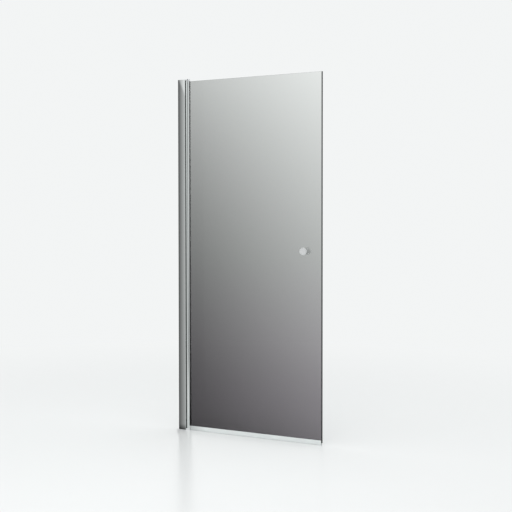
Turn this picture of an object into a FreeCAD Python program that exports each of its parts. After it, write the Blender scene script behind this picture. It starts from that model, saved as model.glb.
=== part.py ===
import FreeCAD, Part
import math
import os
import Sketcher

# Hinged shower door with a rise-and-fall hinge, for a niche about 880 to 900 mm wide.
# X runs from the wall to the free edge, Y is zero in the middle of the glass with the bather's side at +Y,
# and Z runs up from the floor. All lengths are millimetres and all angles degrees.

SIZES = [
    # Whole door
    ("door_height", 2000, "floor to the top of the wall channel"),
    ("door_width", 890, "wall to the free edge of the glass"),
    ("swing_angle", 90, "angle the leaf opens by"),
    ("overrun", 1, "how far a cut passes the face it starts from"),
    # Wall channel
    ("channel_depth", 46, "wall to the mouth of the channel"),
    ("channel_wall", 1.8, "flange thickness"),
    ("channel_web", 2, "thickness against the wall"),
    ("rib_rise", 1, "height of the guide ribs inside the mouth"),
    ("rib_width", 4, "width of the guide ribs"),
    ("mouth_round", 0.8, "rounding of the mouth's outer edges"),
    ("wall_hole_radius", 3, "wall screw holes in the web"),
    ("wall_hole_end", 100, "end holes from the channel's ends"),
    # Cap in the top of the channel
    ("cap_gap", 0.2, "cap to channel and post"),
    ("cap_thick", 2.5, "plate of the cap"),
    ("cap_leg", 18, "length of the cap's spring legs"),
    ("cap_leg_thick", 1.6, "thickness of the legs"),
    # Telescoping post
    ("post_lap", 28, "length of the post inside the channel"),
    ("post_wall", 1.8, "wall thickness of the post"),
    ("slide_gap", 0.2, "post to guide ribs, each side"),
    ("lip_setback", 8.6, "pivot axis to the tips of the post's lips"),
    ("cup_gap", 0.4, "barrel to the cup of the post"),
    ("port_inset", 6.5, "back of the post to its screw ports"),
    ("port_edge", 5, "side of the post to its screw ports"),
    ("port_wall", 1.6, "wall of the screw ports"),
    # Screws
    ("lock_inset", 12, "mouth of the channel to the lock screws"),
    ("lock_end", 150, "end lock screws from the channel's ends"),
    ("lock_radius", 1.9, "shank of the lock screws"),
    ("lock_length", 9, "shank length of the lock screws"),
    ("lock_head_radius", 3.8, "head of the lock screws"),
    ("lock_head", 2.4, "head height of the lock screws"),
    ("bracket_screw_radius", 1.9, "shank of the bracket screws"),
    ("bracket_screw_length", 24, "shank length of the bracket screws"),
    ("bracket_head_radius", 3.4, "head of the bracket screws"),
    ("bracket_head", 2.2, "head height of the bracket screws"),
    ("set_screw_radius", 2, "set screws in the barrel"),
    ("set_screw_end", 6.7, "pivot axis to the inner ends of the set screws"),
    ("set_screw_sink", 0.8, "set screws below the barrel's surface"),
    ("set_screw_pitch", 14, "distance between two set screws"),
    ("set_screw_inset", 8, "end of a plug to its first set screw"),
    ("screw_fit", 0.05, "screw to its own thread, each side"),
    ("screw_room", 0.3, "screw to a clearance hole, each side"),
    ("head_sink", 0.3, "bracket screw heads below the face"),
    ("recess_share", 0.5, "width across the key recess, of the head's width"),
    ("recess_depth_share", 0.6, "depth of the key recess, of the head's height"),
    # Barrel and jaws of the leaf
    ("pivot_reach", 10.5, "mouth of the channel to the pivot axis"),
    ("barrel_radius", 12, "outside of the hinge barrel"),
    ("barrel_wall", 1.8, "wall of the barrel"),
    ("bore_flat", 6.4, "pivot axis to the flat in the barrel's bore"),
    ("floor_wall", 1.6, "wall between bore and glass slot"),
    ("jaw_reach", 2, "barrel to the end of the jaws"),
    ("jaw_wall", 1.8, "thickness of each jaw"),
    ("jaw_round", 0.7, "rounding of the jaws' ends"),
    ("foot_gap", 0.6, "foot bracket to the barrel"),
    ("lift_clear", 0.5, "barrel to the head bracket when fully lifted"),
    # Glass
    ("glass_thick", 8, "thickness of the glass"),
    ("glass_edge_gap", 0.6, "glass edge to the floor of its slot"),
    ("glass_drop", 0.5, "top of the barrel to the top of the glass"),
    ("glass_rise", 1, "foot bracket to the bottom of the glass"),
    ("arris", 0.5, "ground edges of the glass"),
    # Glazing gaskets
    ("gasket_thick", 1, "gasket between glass and jaw"),
    ("gasket_wrap_gap", 0.1, "barrel to the gasket's flap over the jaw"),
    ("gasket_wrap_thick", 0.8, "thickness of the flap"),
    ("gasket_lip", 1.3, "gasket beyond the end of the jaws"),
    ("gasket_lip_flat", 0.8, "flat of the lip at the jaw's end"),
    ("gasket_tip", 0.5, "thickness of the lip's tip"),
    ("gasket_foot_gap", 0.3, "gasket to the top of the floor seal"),
    # Foot bracket
    ("lower_plate", 10, "height of the foot bracket"),
    ("spindle_floor", 1.5, "metal under the spindle"),
    ("socket_depth", 4, "depth of the cam's hexagonal socket"),
    # Head bracket
    ("upper_plate", 5.5, "height of the head bracket in the channel"),
    ("nose_rise", 3, "nose above the top of the channel"),
    ("nose_round", 1.6, "rounding of the nose's top edge"),
    ("spigot_length", 34, "length of the pivot spigot"),
    ("spigot_bevel", 0.8, "bevel at the spigot's end"),
    ("pivot_fit", 0.08, "running fit of spigot and spindle, each side"),
    ("groove_gap", 0.4, "collar to its groove in the nose, each side"),
    ("groove_room", 0.6, "collar to the groove's roof when fully lifted"),
    # Rise-and-fall cam
    ("cam_pitch", 16, "rise of the cam in a full turn"),
    ("cam_side_gap", 0.3, "cam to the flat of the bore"),
    ("cam_bore_gap", 0.3, "cam and follower to the spindle, each side"),
    ("cam_gap", 0.6, "height between cam and follower"),
    ("cam_stop_angle", 5, "turn between the steps of cam and follower"),
    ("cam_lap", 1, "ramp sunk in its ring"),
    ("socket_flats", 9, "across the flats of the cam's foot"),
    ("socket_fit", 0.1, "cam's foot to its socket, each side"),
    # Spindle
    ("spindle_radius", 3, "round journal of the spindle"),
    ("spindle_square", 4.2, "across the flats of the square shank"),
    ("square_fit", 0.1, "shank to the follower, each side"),
    ("shank_length", 32, "length of the square shank"),
    ("journal_rise", 3, "journal above the cam"),
    ("spindle_end_gap", 0.1, "spindle to its floor"),
    ("bush_wall", 1.2, "wall of the spindle's bush"),
    ("bush_fit", 0.05, "bush to its seat, each side"),
    # Plugs in the barrel
    ("plug_fit", 0.1, "plug to bore"),
    ("plug_rise", 6, "journal's top to the plug of the follower"),
    ("plug_roof", 8, "plug beyond the end of the shank"),
    ("shank_room", 1, "shank to the ends of its socket"),
    ("upper_bush_length", 46, "plug of the upper bush"),
    ("upper_bush_wall", 1.4, "wall between spigot and flat"),
    ("collar_setback", 1.7, "collar inside the barrel's surface"),
    ("collar_wall", 2.3, "wall of the collar"),
    ("collar_lap", 0.5, "collar in its groove when closed"),
    # Floor seal
    ("seal_grip", 14, "legs of the seal on the glass"),
    ("seal_wall", 1.05, "thickness of legs and web"),
    ("seal_fit", 0.15, "seal to glass"),
    ("seal_floor_gap", 0.5, "lips to the floor"),
    ("seal_end_gap", 0.5, "seal to the jaws and to the free edge"),
    ("fin_wall", 0.9, "thickness of the lips"),
    ("fin_splay", 3, "how far the inner lip leans out"),
    # Knobs
    ("knob_inset", 99.5, "free edge to the knob's axis"),
    ("knob_height", 1035, "floor to the knob's axis"),
    ("knob_hole_radius", 6, "hole in the glass"),
    ("washer_thick", 1, "washer under each knob"),
    ("washer_radius", 10.5, "outside of the washers"),
    ("knob_base_radius", 11, "foot of the knob"),
    ("knob_base", 2.5, "height of the knob's foot"),
    ("knob_neck_radius", 8, "neck of the knob"),
    ("knob_neck", 13.5, "length of the knob's neck"),
    ("knob_head_radius", 20, "head of the knob"),
    ("knob_head", 20, "thickness of the head"),
    ("knob_front_round", 9.4, "rounding of the head's face"),
    ("knob_back_round", 7.5, "rounding of the head's back"),
    ("knob_neck_round", 3.5, "hollow between neck and head"),
    ("knob_base_round", 1.2, "rounding of the foot"),
    ("stud_radius", 4, "stud between the knobs"),
    ("stud_reach", 12, "stud inside each knob"),
    ("stud_room", 1, "stud to the end of its hole"),
    ("stud_fit", 0.05, "stud to the knob, each side"),
    ("sleeve_fit", 0.1, "sleeve to glass and stud, each side"),
    ("grub_radius", 2, "grub screw of the inner knob"),
    ("grub_sink", 0.6, "grub screw below the neck's surface"),
]

WALL_HOLES = 4
LOCK_SCREWS = 3
PAIR = 2
FULL_TURN = 360
HALF_TURN = 180
QUARTER_TURN = 90
THIRD_TURN = 120
SAME = 1e-4
ROOT_THREE = math.sqrt(3)
NOSE_ROUND_SHARE = 0.6
NECK_ROUND_SHARE = 0.3
BACK_ROUND_SHARE = 0.65
FRONT_ROUND_SHARE = 0.9
FLOOR_LAP_SHARE = 0.25
OUTER, INNER = -1, 1

doc = FreeCAD.newDocument("hinged_shower_door")
nodes = []


# Sizes bound to the sheet

def number(item):
    """Value of a size or a plain number."""
    return item.value if isinstance(item, Size) else float(item)


def wording(item):
    """Expression of a size or a plain number."""
    return item.text if isinstance(item, Size) else repr(item)


class Size:
    """A length from the sheet: its value now and the expression that keeps it bound."""

    def __init__(self, value, text):
        self.value = value
        self.text = text

    def __add__(self, other):
        return Size(self.value + number(other), f"({self.text} + {wording(other)})")

    def __sub__(self, other):
        return Size(self.value - number(other), f"({self.text} - {wording(other)})")

    def __mul__(self, other):
        return Size(self.value * number(other), f"({self.text} * {wording(other)})")

    def __truediv__(self, other):
        return Size(self.value / number(other), f"({self.text} / {wording(other)})")

    def __neg__(self):
        return Size(-self.value, f"(0 - {self.text})")


def root(size):
    """Square root of a size times a size."""
    return Size(math.sqrt(size.value), f"sqrt({size.text})")


def limited(size, room):
    """A rounding, held to the room that its wall leaves."""
    return Size(min(size.value, room.value), f"min({size.text}; {room.text})")


class Sheet:
    """The door's sizes, each an attribute by its alias."""

    def __init__(self):
        self.cells = doc.addObject("Spreadsheet::Sheet", "Sizes")
        for row, (alias, value, note) in enumerate(SIZES, 1):
            self.cells.set(f"A{row}", alias)
            self.cells.set(f"B{row}", str(value))
            self.cells.set(f"C{row}", note)
            self.cells.setAlias(f"B{row}", alias)
            setattr(self, alias, Size(float(value), f"Sizes.{alias}"))
        doc.recompute()


d = Sheet()
ZERO = Size(0.0, "0")

# Places that several pieces share
post_half = d.barrel_radius
channel_inner = post_half + d.slide_gap + d.rib_rise
channel_half = channel_inner + d.channel_wall
post_back = d.channel_depth - d.post_lap
pivot = d.channel_depth + d.pivot_reach
lip_end = pivot - d.lip_setback
cup_radius = d.barrel_radius + d.cup_gap
port_x = post_back + d.port_inset
port_y = post_half - d.port_edge
lock_x = d.channel_depth - d.lock_inset
lock_span = d.door_height - d.lock_end * 2
lift = d.cam_pitch * d.swing_angle / FULL_TURN
nose_under = d.door_height - d.upper_plate
leaf_foot = d.lower_plate + d.foot_gap
leaf_top = nose_under - lift - d.lift_clear
leaf_length = leaf_top - leaf_foot
bore_radius = d.barrel_radius - d.barrel_wall
plug_radius = bore_radius - d.plug_fit
plug_flat = d.bore_flat - d.plug_fit
slot_floor = pivot + d.bore_flat + d.floor_wall
jaw_end = pivot + d.barrel_radius + d.jaw_reach
glass_half = d.glass_thick / 2
slot_half = glass_half + d.gasket_thick
jaw_half = slot_half + d.jaw_wall
glass_edge = slot_floor + d.glass_edge_gap
glass_foot = d.lower_plate + d.glass_rise
glass_top = leaf_top - d.glass_drop
seal_top = glass_foot + d.seal_grip
cam_radius = d.bore_flat - d.cam_side_gap
cam_bore = d.spindle_radius + d.cam_bore_gap
ramp_rise = d.cam_pitch / 2
ramp_low = d.lower_plate + ramp_rise + d.cam_lap
ramp_block = ramp_rise + d.cam_lap / 2
journal_top = ramp_low + ramp_rise + d.journal_rise
shank_top = journal_top + d.shank_length
follower_foot = journal_top + d.plug_rise
follower_top = shank_top + d.plug_roof
upper_bush_foot = leaf_top - d.upper_bush_length
lower_set_screw = follower_foot + d.set_screw_inset
upper_set_screw = upper_bush_foot + d.set_screw_inset
spigot_radius = plug_flat - d.upper_bush_wall - d.pivot_fit
collar_radius = d.barrel_radius - d.collar_setback
collar_inner = collar_radius - d.collar_wall
knob_x = d.door_width - d.knob_inset
knob_seat = glass_half + d.washer_thick
neck_foot = knob_seat + d.knob_base
head_foot = neck_foot + d.knob_neck


# Ways to draw and to cut

def origin_feature(body, role):
    """The plane or axis of a body's own origin with this role."""
    return next(item for item in body.Origin.OriginFeatures if item.Role == role)


def new_body(label):
    """A body that is kept as the node of this name."""
    body = doc.addObject("PartDesign::Body", label)
    body.Label = label
    nodes.append(body)
    return body


def place(item, x, y, z, rotation=FreeCAD.Rotation()):
    """Turn an object and bind its place to the sheet."""
    item.Placement = FreeCAD.Placement(FreeCAD.Vector(x.value, y.value, z.value), rotation)
    for axis, size in zip("xyz", (x, y, z)):
        item.setExpression(f"Placement.Base.{axis}", size.text)


def new_sketch(body, name, role="XY_Plane", offset=None):
    """A sketch on one of the body's planes, moved along that plane's normal."""
    sketch = body.newObject("Sketcher::SketchObject", f"{body.Name}_{name}_sketch")
    sketch.AttachmentSupport = [(origin_feature(body, role), "")]
    sketch.MapMode = "FlatFace"
    if offset is not None:
        sketch.setExpression("AttachmentOffset.Base.z", offset.text)
    return sketch


def bind(sketch, kind, geometry, point, size):
    """Hold one coordinate of a point at a size, or on the axis where it is zero."""
    if abs(size.value) < SAME:
        axis = -2 if kind == "DistanceX" else -1
        sketch.addConstraint(Sketcher.Constraint("PointOnObject", geometry, point, axis))
        return
    index = sketch.addConstraint(Sketcher.Constraint(kind, -1, 1, geometry, point, size.value))
    sketch.setExpression(f"Constraints[{index}]", size.text)


def outline(sketch, points):
    """Closed outline of straight lines through points given as pairs of sizes."""
    first = sketch.GeometryCount
    count = len(points)
    corners = [FreeCAD.Vector(x.value, y.value, 0) for x, y in points]
    for step in range(count):
        sketch.addGeometry(Part.LineSegment(corners[step], corners[(step + 1) % count]), False)
    for step in range(count):
        follower = first + (step + 1) % count
        sketch.addConstraint(Sketcher.Constraint("Coincident", first + step, 2, follower, 1))
    for step, (x, y) in enumerate(points):
        bind(sketch, "DistanceX", first + step, 1, x)
        bind(sketch, "DistanceY", first + step, 1, y)


def rectangle(sketch, x_low, x_high, y_low, y_high):
    """Rectangle between two corners."""
    outline(sketch, [(x_low, y_low), (x_high, y_low), (x_high, y_high), (x_low, y_high)])


def hexagon(sketch, flats):
    """Hexagon round the sketch's origin, with this width across its flats."""
    side = flats / 2
    low = side / ROOT_THREE
    high = low * 2
    outline(sketch, [(side, low), (ZERO, high), (-side, low), (-side, -low), (ZERO, -high), (side, -low)])


def circle(sketch, x, y, radius):
    """Circle with its centre and radius bound."""
    centre = FreeCAD.Vector(x.value, y.value, 0)
    normal = FreeCAD.Vector(0, 0, 1)
    index = sketch.addGeometry(Part.Circle(centre, normal, radius.value), False)
    bind(sketch, "DistanceX", index, 3, x)
    bind(sketch, "DistanceY", index, 3, y)
    held = sketch.addConstraint(Sketcher.Constraint("Radius", index, radius.value))
    sketch.setExpression(f"Constraints[{held}]", radius.text)


def pad(body, name, sketch, length, back=False):
    """Add the sketch's area over a length."""
    feature = body.newObject("PartDesign::Pad", f"{body.Name}_{name}")
    feature.Profile = sketch
    feature.Reversed = back
    feature.setExpression("Length", length.text)
    doc.recompute()
    return feature


def pocket(body, name, sketch, length, back=False):
    """Cut the sketch's area over a length, and see that it took something away."""
    before = body.Shape.Volume
    feature = body.newObject("PartDesign::Pocket", f"{body.Name}_{name}")
    feature.Profile = sketch
    feature.Reversed = back
    feature.setExpression("Length", length.text)
    doc.recompute()
    if not body.Shape.Volume < before:
        raise RuntimeError(f"{body.Label}: {name} cuts nothing")
    return feature


def revolve(body, name, sketch):
    """Turn the sketch's area once round its own vertical axis."""
    feature = body.newObject("PartDesign::Revolution", f"{body.Name}_{name}")
    feature.Profile = sketch
    feature.ReferenceAxis = (sketch, ["V_Axis"])
    feature.Angle = FULL_TURN
    doc.recompute()
    return feature


def dress(body, kind, name, size, chosen):
    """Round or bevel the edges that the test chooses."""
    base = body.Tip
    edges = [f"Edge{count}" for count, edge in enumerate(base.Shape.Edges, 1) if chosen(edge)]
    if not edges:
        raise RuntimeError(f"{body.Label}: no edges for {name}")
    feature = body.newObject(f"PartDesign::{kind}", f"{body.Name}_{name}")
    feature.Base = (base, edges)
    feature.setExpression("Radius" if kind == "Fillet" else "Size", size.text)
    doc.recompute()
    return feature


def near(value, size):
    """True where a coordinate is at a size."""
    return abs(value - size.value) < SAME


def upright_at(edge, x, y):
    """True for an upright edge through this place in plan."""
    box = edge.BoundBox
    return box.XLength + box.YLength < SAME and near(box.Center.x, x) and near(abs(box.Center.y), y)


def ring_at(edge, axis, place_on_axis, radius):
    """True for a full circle of this radius at this place along its axis."""
    if not isinstance(edge.Curve, Part.Circle) or not near(edge.Curve.Radius, radius):
        return False
    return near(getattr(edge.Curve.Center, axis), place_on_axis)


def screw_group(label, shank, length, head_radius, head, spread, count, corner, rotation):
    """Like screws in a row along their own X, each with its head up its own Z from the bearing face."""
    body = new_body(label)
    profile = new_sketch(body, "profile", "XZ_Plane")
    points = [(ZERO, -length), (shank, -length), (shank, ZERO), (head_radius, ZERO), (head_radius, head)]
    outline(profile, points + [(ZERO, head)])
    turned = revolve(body, "turned", profile)
    recess = new_sketch(body, "recess", offset=head)
    hexagon(recess, head_radius * 2 * d.recess_share)
    cut = pocket(body, "recess", recess, head * d.recess_depth_share)
    row(body, [turned, cut], spread, count)
    place(body, *corner, rotation)
    return body


def set_screws(label, radius, length, spread, count, corner, rotation):
    """Like headless screws in a row along their own X, with their ends up their own Z."""
    body = new_body(label)
    rod = new_sketch(body, "rod")
    circle(rod, ZERO, ZERO, radius)
    made = pad(body, "rod", rod, length, back=True)
    recess = new_sketch(body, "recess")
    hexagon(recess, radius * 2 * d.recess_share)
    cut = pocket(body, "recess", recess, radius * d.recess_depth_share * 2)
    if count > 1:
        row(body, [made, cut], spread, count)
    place(body, *corner, rotation)
    return body


def row(body, features, spread, count):
    """Repeat features along the body's X over a length."""
    body.AllowCompound = True
    pattern = body.newObject("PartDesign::LinearPattern", f"{body.Name}_row")
    pattern.Originals = features
    pattern.Direction = (origin_feature(body, "X_Axis"), [""])
    pattern.setExpression("Length", spread.text)
    pattern.Occurrences = count
    body.Tip = pattern
    doc.recompute()


CLOCKWISE = FreeCAD.Vector(0, -1, 0)
HEADS_TO_BATHER = FreeCAD.Rotation(FreeCAD.Vector(1, 1, 1), -THIRD_TURN)
HEADS_UP = FreeCAD.Rotation(FreeCAD.Vector(0, 0, 1), QUARTER_TURN)
HEADS_DOWN = FreeCAD.Rotation(FreeCAD.Vector(1, 1, 0), HALF_TURN)


# Pieces fixed to the wall

def lock_holes(body, face, wall, radius):
    """Holes for the lock screws through a wall whose outer face is on the bather's side."""
    holes = new_sketch(body, "lock_holes", "XZ_Plane", -face)
    for step in range(LOCK_SCREWS):
        circle(holes, lock_x, d.lock_end + lock_span * step / (LOCK_SCREWS - 1), radius)
    pocket(body, "lock_holes", holes, wall + d.overrun, back=True)


def wall_profile():
    """Extruded channel against the wall, with ribs at its mouth that guide the post."""
    body = new_body("wall_profile")
    section = new_sketch(body, "section")
    rib_foot = d.channel_depth - d.rib_width
    rib_top = channel_inner - d.rib_rise
    half = [(ZERO, channel_half), (d.channel_depth, channel_half), (d.channel_depth, rib_top),
            (rib_foot, rib_top), (rib_foot, channel_inner), (d.channel_web, channel_inner)]
    outline(section, half + [(x, -y) for x, y in reversed(half)])
    pad(body, "extrusion", section, d.door_height)
    dress(body, "Fillet", "mouth", d.mouth_round, lambda edge: upright_at(edge, d.channel_depth, channel_half))
    holes = new_sketch(body, "wall_holes", "YZ_Plane")
    span = d.door_height - d.wall_hole_end * 2
    for step in range(WALL_HOLES):
        circle(holes, ZERO, d.wall_hole_end + span * step / (WALL_HOLES - 1), d.wall_hole_radius)
    pocket(body, "wall_holes", holes, d.channel_web + d.overrun, back=True)
    lock_holes(body, channel_half, d.channel_wall, d.lock_radius + d.screw_room)


def channel_cap():
    """Cap that closes the channel's top behind the post, on two spring legs."""
    body = new_body("channel_cap")
    x_low = d.channel_web + d.cap_gap
    x_high = post_back - d.cap_gap
    y_high = channel_inner - d.cap_gap
    plate = new_sketch(body, "plate", offset=d.door_height)
    rectangle(plate, x_low, x_high, -y_high, y_high)
    pad(body, "plate", plate, d.cap_thick, back=True)
    legs = new_sketch(body, "legs", offset=d.door_height - d.cap_thick)
    for side in (OUTER, INNER):
        rectangle(legs, x_low, x_high, (y_high - d.cap_leg_thick) * side, y_high * side)
    pad(body, "legs", legs, d.cap_leg, back=True)


def hinge_post():
    """Hollow post that slides in the channel, with a cup for the barrel and ports for screws."""
    body = new_body("hinge_post")
    length = nose_under - d.lower_plate
    section = new_sketch(body, "section", offset=d.lower_plate)
    rectangle(section, post_back, lip_end, -post_half, post_half)
    pad(body, "extrusion", section, length)
    cup = new_sketch(body, "cup", offset=d.lower_plate)
    circle(cup, pivot, ZERO, cup_radius)
    pocket(body, "cup", cup, length, back=True)
    inner_half = post_half - d.post_wall
    hollow = new_sketch(body, "hollow", offset=d.lower_plate)
    rectangle(hollow, post_back + d.post_wall, pivot - cup_radius - d.post_wall, -inner_half, inner_half)
    pocket(body, "hollow", hollow, length, back=True)
    ports = new_sketch(body, "ports", offset=d.lower_plate)
    bores = new_sketch(body, "port_bores", offset=d.lower_plate)
    port_radius = d.bracket_screw_radius + d.screw_fit
    for side in (OUTER, INNER):
        circle(ports, port_x, port_y * side, port_radius + d.port_wall)
        circle(bores, port_x, port_y * side, port_radius)
    pad(body, "ports", ports, length)
    pocket(body, "port_bores", bores, length, back=True)
    lock_holes(body, post_half, d.post_wall, d.lock_radius + d.screw_fit)


def bracket_plate(body, z_low, height, nose_height):
    """Plate on the end of the post with a round nose over the barrel's end."""
    plate = new_sketch(body, "plate", offset=z_low)
    rectangle(plate, post_back, pivot, -post_half, post_half)
    pad(body, "plate", plate, height)
    nose = new_sketch(body, "nose", offset=z_low)
    circle(nose, pivot, ZERO, d.barrel_radius)
    pad(body, "nose", nose, nose_height)


def bracket_holes(body, face, height, upward):
    """Sunk holes for the two bracket screws, from the face where their heads lie."""
    for name, radius, depth in (
        ("head_holes", d.bracket_head_radius + d.screw_room, d.bracket_head + d.head_sink),
        ("shank_holes", d.bracket_screw_radius + d.screw_room, height),
    ):
        holes = new_sketch(body, name, offset=face)
        for side in (OUTER, INNER):
            circle(holes, port_x, port_y * side, radius)
        pocket(body, name, holes, depth, back=upward)


def lower_pivot_bracket():
    """Cast foot under post and barrel, with the cam's socket and the seat of the spindle's bush."""
    body = new_body("lower_pivot_bracket")
    bracket_plate(body, ZERO, d.lower_plate, d.lower_plate)
    bracket_holes(body, ZERO, d.lower_plate, True)
    socket = new_sketch(body, "socket", offset=d.lower_plate)
    socket.setExpression("AttachmentOffset.Base.x", pivot.text)
    hexagon(socket, d.socket_flats + d.socket_fit * 2)
    pocket(body, "socket", socket, d.socket_depth)
    seat = new_sketch(body, "bush_seat", offset=d.lower_plate)
    circle(seat, pivot, ZERO, d.spindle_radius + d.pivot_fit + d.bush_wall + d.bush_fit)
    pocket(body, "bush_seat", seat, d.lower_plate - d.spindle_floor)


def spindle_bush():
    """Plain bearing sleeve for the spindle's journal in the foot."""
    body = new_body("spindle_bush")
    ring = new_sketch(body, "ring", offset=d.spindle_floor)
    circle(ring, pivot, ZERO, d.spindle_radius + d.pivot_fit + d.bush_wall)
    circle(ring, pivot, ZERO, d.spindle_radius + d.pivot_fit)
    pad(body, "ring", ring, d.lower_plate - d.socket_depth - d.spindle_floor)


def ramps(body, z_low, height, turn=None):
    """Two left-handed half-turn ramps opposite each other, round the pivot axis."""
    for side in (INNER, OUTER):
        section = new_sketch(body, f"ramp_{side + 1}", "XZ_Plane")
        if turn is not None:
            rotation = FreeCAD.Rotation(CLOCKWISE, turn.value)
            section.AttachmentOffset = FreeCAD.Placement(FreeCAD.Vector(), rotation)
            section.setExpression("AttachmentOffset.Rotation.Angle", turn.text)
        rectangle(section, cam_bore * side, cam_radius * side, z_low, z_low + height)
        ramp = body.newObject("PartDesign::AdditiveHelix", f"{body.Name}_ramp_{side + 1}")
        ramp.Profile = section
        ramp.ReferenceAxis = (origin_feature(body, "Z_Axis"), [""])
        ramp.LeftHanded = True
        ramp.setExpression("Pitch", d.cam_pitch.text)
        ramp.setExpression("Height", ramp_rise.text)
        doc.recompute()


def lift_cam():
    """Fixed half of the rise-and-fall cam, keyed in the foot by its hexagon."""
    body = new_body("lift_cam")
    key = new_sketch(body, "key", offset=d.lower_plate)
    hexagon(key, d.socket_flats)
    pad(body, "key", key, d.socket_depth, back=True)
    ring = new_sketch(body, "ring", offset=d.lower_plate)
    circle(ring, ZERO, ZERO, cam_radius)
    pad(body, "ring", ring, ramp_low - d.lower_plate)
    bore = new_sketch(body, "bore", offset=d.lower_plate - d.socket_depth)
    circle(bore, ZERO, ZERO, cam_bore)
    pocket(body, "bore", bore, ramp_low - d.lower_plate + d.socket_depth, back=True)
    ramps(body, ramp_low - ramp_block, ramp_block)
    place(body, pivot, ZERO, ZERO)


def upper_pivot_bracket():
    """Cast head on the post, with the pivot spigot and the groove that takes the collar."""
    body = new_body("upper_pivot_bracket")
    bracket_plate(body, nose_under, d.upper_plate, d.upper_plate + d.nose_rise)
    dress(body, "Fillet", "nose_edge", limited(d.nose_round, d.nose_rise * NOSE_ROUND_SHARE),
          lambda edge: ring_at(edge, "z", d.door_height + d.nose_rise, d.barrel_radius))
    bracket_holes(body, d.door_height, d.upper_plate, False)
    groove = new_sketch(body, "groove", offset=nose_under)
    circle(groove, pivot, ZERO, collar_radius + d.groove_gap)
    circle(groove, pivot, ZERO, collar_inner - d.groove_gap)
    pocket(body, "groove", groove, d.collar_lap + lift + d.groove_room, back=True)
    spigot = new_sketch(body, "spigot", offset=nose_under)
    circle(spigot, pivot, ZERO, spigot_radius)
    pad(body, "spigot", spigot, d.spigot_length, back=True)
    dress(body, "Chamfer", "spigot_end", d.spigot_bevel,
          lambda edge: ring_at(edge, "z", nose_under - d.spigot_length, spigot_radius))


def wall_fasteners():
    """Screws that lock the post in the channel and hold the two brackets on it."""
    screw_group("post_lock_screws", d.lock_radius, d.lock_length, d.lock_head_radius, d.lock_head,
                lock_span, LOCK_SCREWS, (lock_x, channel_half, d.lock_end), HEADS_TO_BATHER)
    sunk = d.bracket_head + d.head_sink
    common = (d.bracket_screw_radius, d.bracket_screw_length, d.bracket_head_radius, d.bracket_head,
              port_y * 2, PAIR)
    screw_group("lower_bracket_screws", *common, (port_x, -port_y, sunk), HEADS_DOWN)
    screw_group("upper_bracket_screws", *common, (port_x, -port_y, d.door_height - sunk), HEADS_UP)


# Piece that turns with the leaf but does not rise

def spindle():
    """Steel spindle with a round journal in the foot and a square shank that the leaf slides on."""
    body = new_body("spindle")
    foot = d.spindle_floor + d.spindle_end_gap
    journal = new_sketch(body, "journal", offset=foot)
    circle(journal, pivot, ZERO, d.spindle_radius)
    pad(body, "journal", journal, journal_top - foot)
    half = d.spindle_square / 2
    shank = new_sketch(body, "shank", offset=journal_top)
    rectangle(shank, pivot - half, pivot + half, -half, half)
    pad(body, "shank", shank, d.shank_length)


# Pieces of the leaf

def leaf_profile():
    """Extruded barrel with a flat in its bore, and the two jaws that hold the glass."""
    body = new_body("leaf_profile")
    barrel = new_sketch(body, "barrel", offset=leaf_foot)
    circle(barrel, pivot, ZERO, d.barrel_radius)
    pad(body, "barrel", barrel, leaf_length)
    jaws = new_sketch(body, "jaws", offset=leaf_foot)
    rectangle(jaws, pivot, jaw_end, -jaw_half, jaw_half)
    pad(body, "jaws", jaws, leaf_length)
    bore = new_sketch(body, "bore", offset=leaf_foot)
    circle(bore, pivot, ZERO, bore_radius)
    pocket(body, "bore", bore, leaf_length, back=True)
    floor_half = root(bore_radius * bore_radius - d.bore_flat * d.bore_flat) + d.barrel_wall * FLOOR_LAP_SHARE
    floor = new_sketch(body, "floor", offset=leaf_foot)
    rectangle(floor, pivot + d.bore_flat, slot_floor, -floor_half, floor_half)
    pad(body, "floor", floor, leaf_length)
    slot = new_sketch(body, "slot", offset=leaf_foot)
    rectangle(slot, slot_floor, jaw_end + d.overrun, -slot_half, slot_half)
    pocket(body, "slot", slot, leaf_length, back=True)
    dress(body, "Fillet", "jaw_ends", d.jaw_round, lambda edge: upright_at(edge, jaw_end, jaw_half))
    for name, first in (("lower_set_screw_holes", lower_set_screw), ("upper_set_screw_holes", upper_set_screw)):
        set_screw_holes(body, name, pivot, first)


def set_screw_holes(body, name, x, first):
    """Two tapped holes from the bather's side of the barrel, one above the other."""
    holes = new_sketch(body, name, "XZ_Plane", -d.barrel_radius)
    for step in range(PAIR):
        circle(holes, x, first + d.set_screw_pitch * step, d.set_screw_radius + d.screw_fit)
    pocket(body, name, holes, d.barrel_radius - d.set_screw_end, back=True)


def flatted_plug(body, z_low, length):
    """Plug round the pivot axis that fills the barrel's bore, flat included."""
    plug = new_sketch(body, "plug", offset=z_low)
    circle(plug, ZERO, ZERO, plug_radius)
    pad(body, "plug", plug, length)
    flat = new_sketch(body, "flat", offset=z_low)
    rectangle(flat, plug_flat, d.barrel_radius, -d.barrel_radius, d.barrel_radius)
    pocket(body, "flat", flat, length, back=True)


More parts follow.
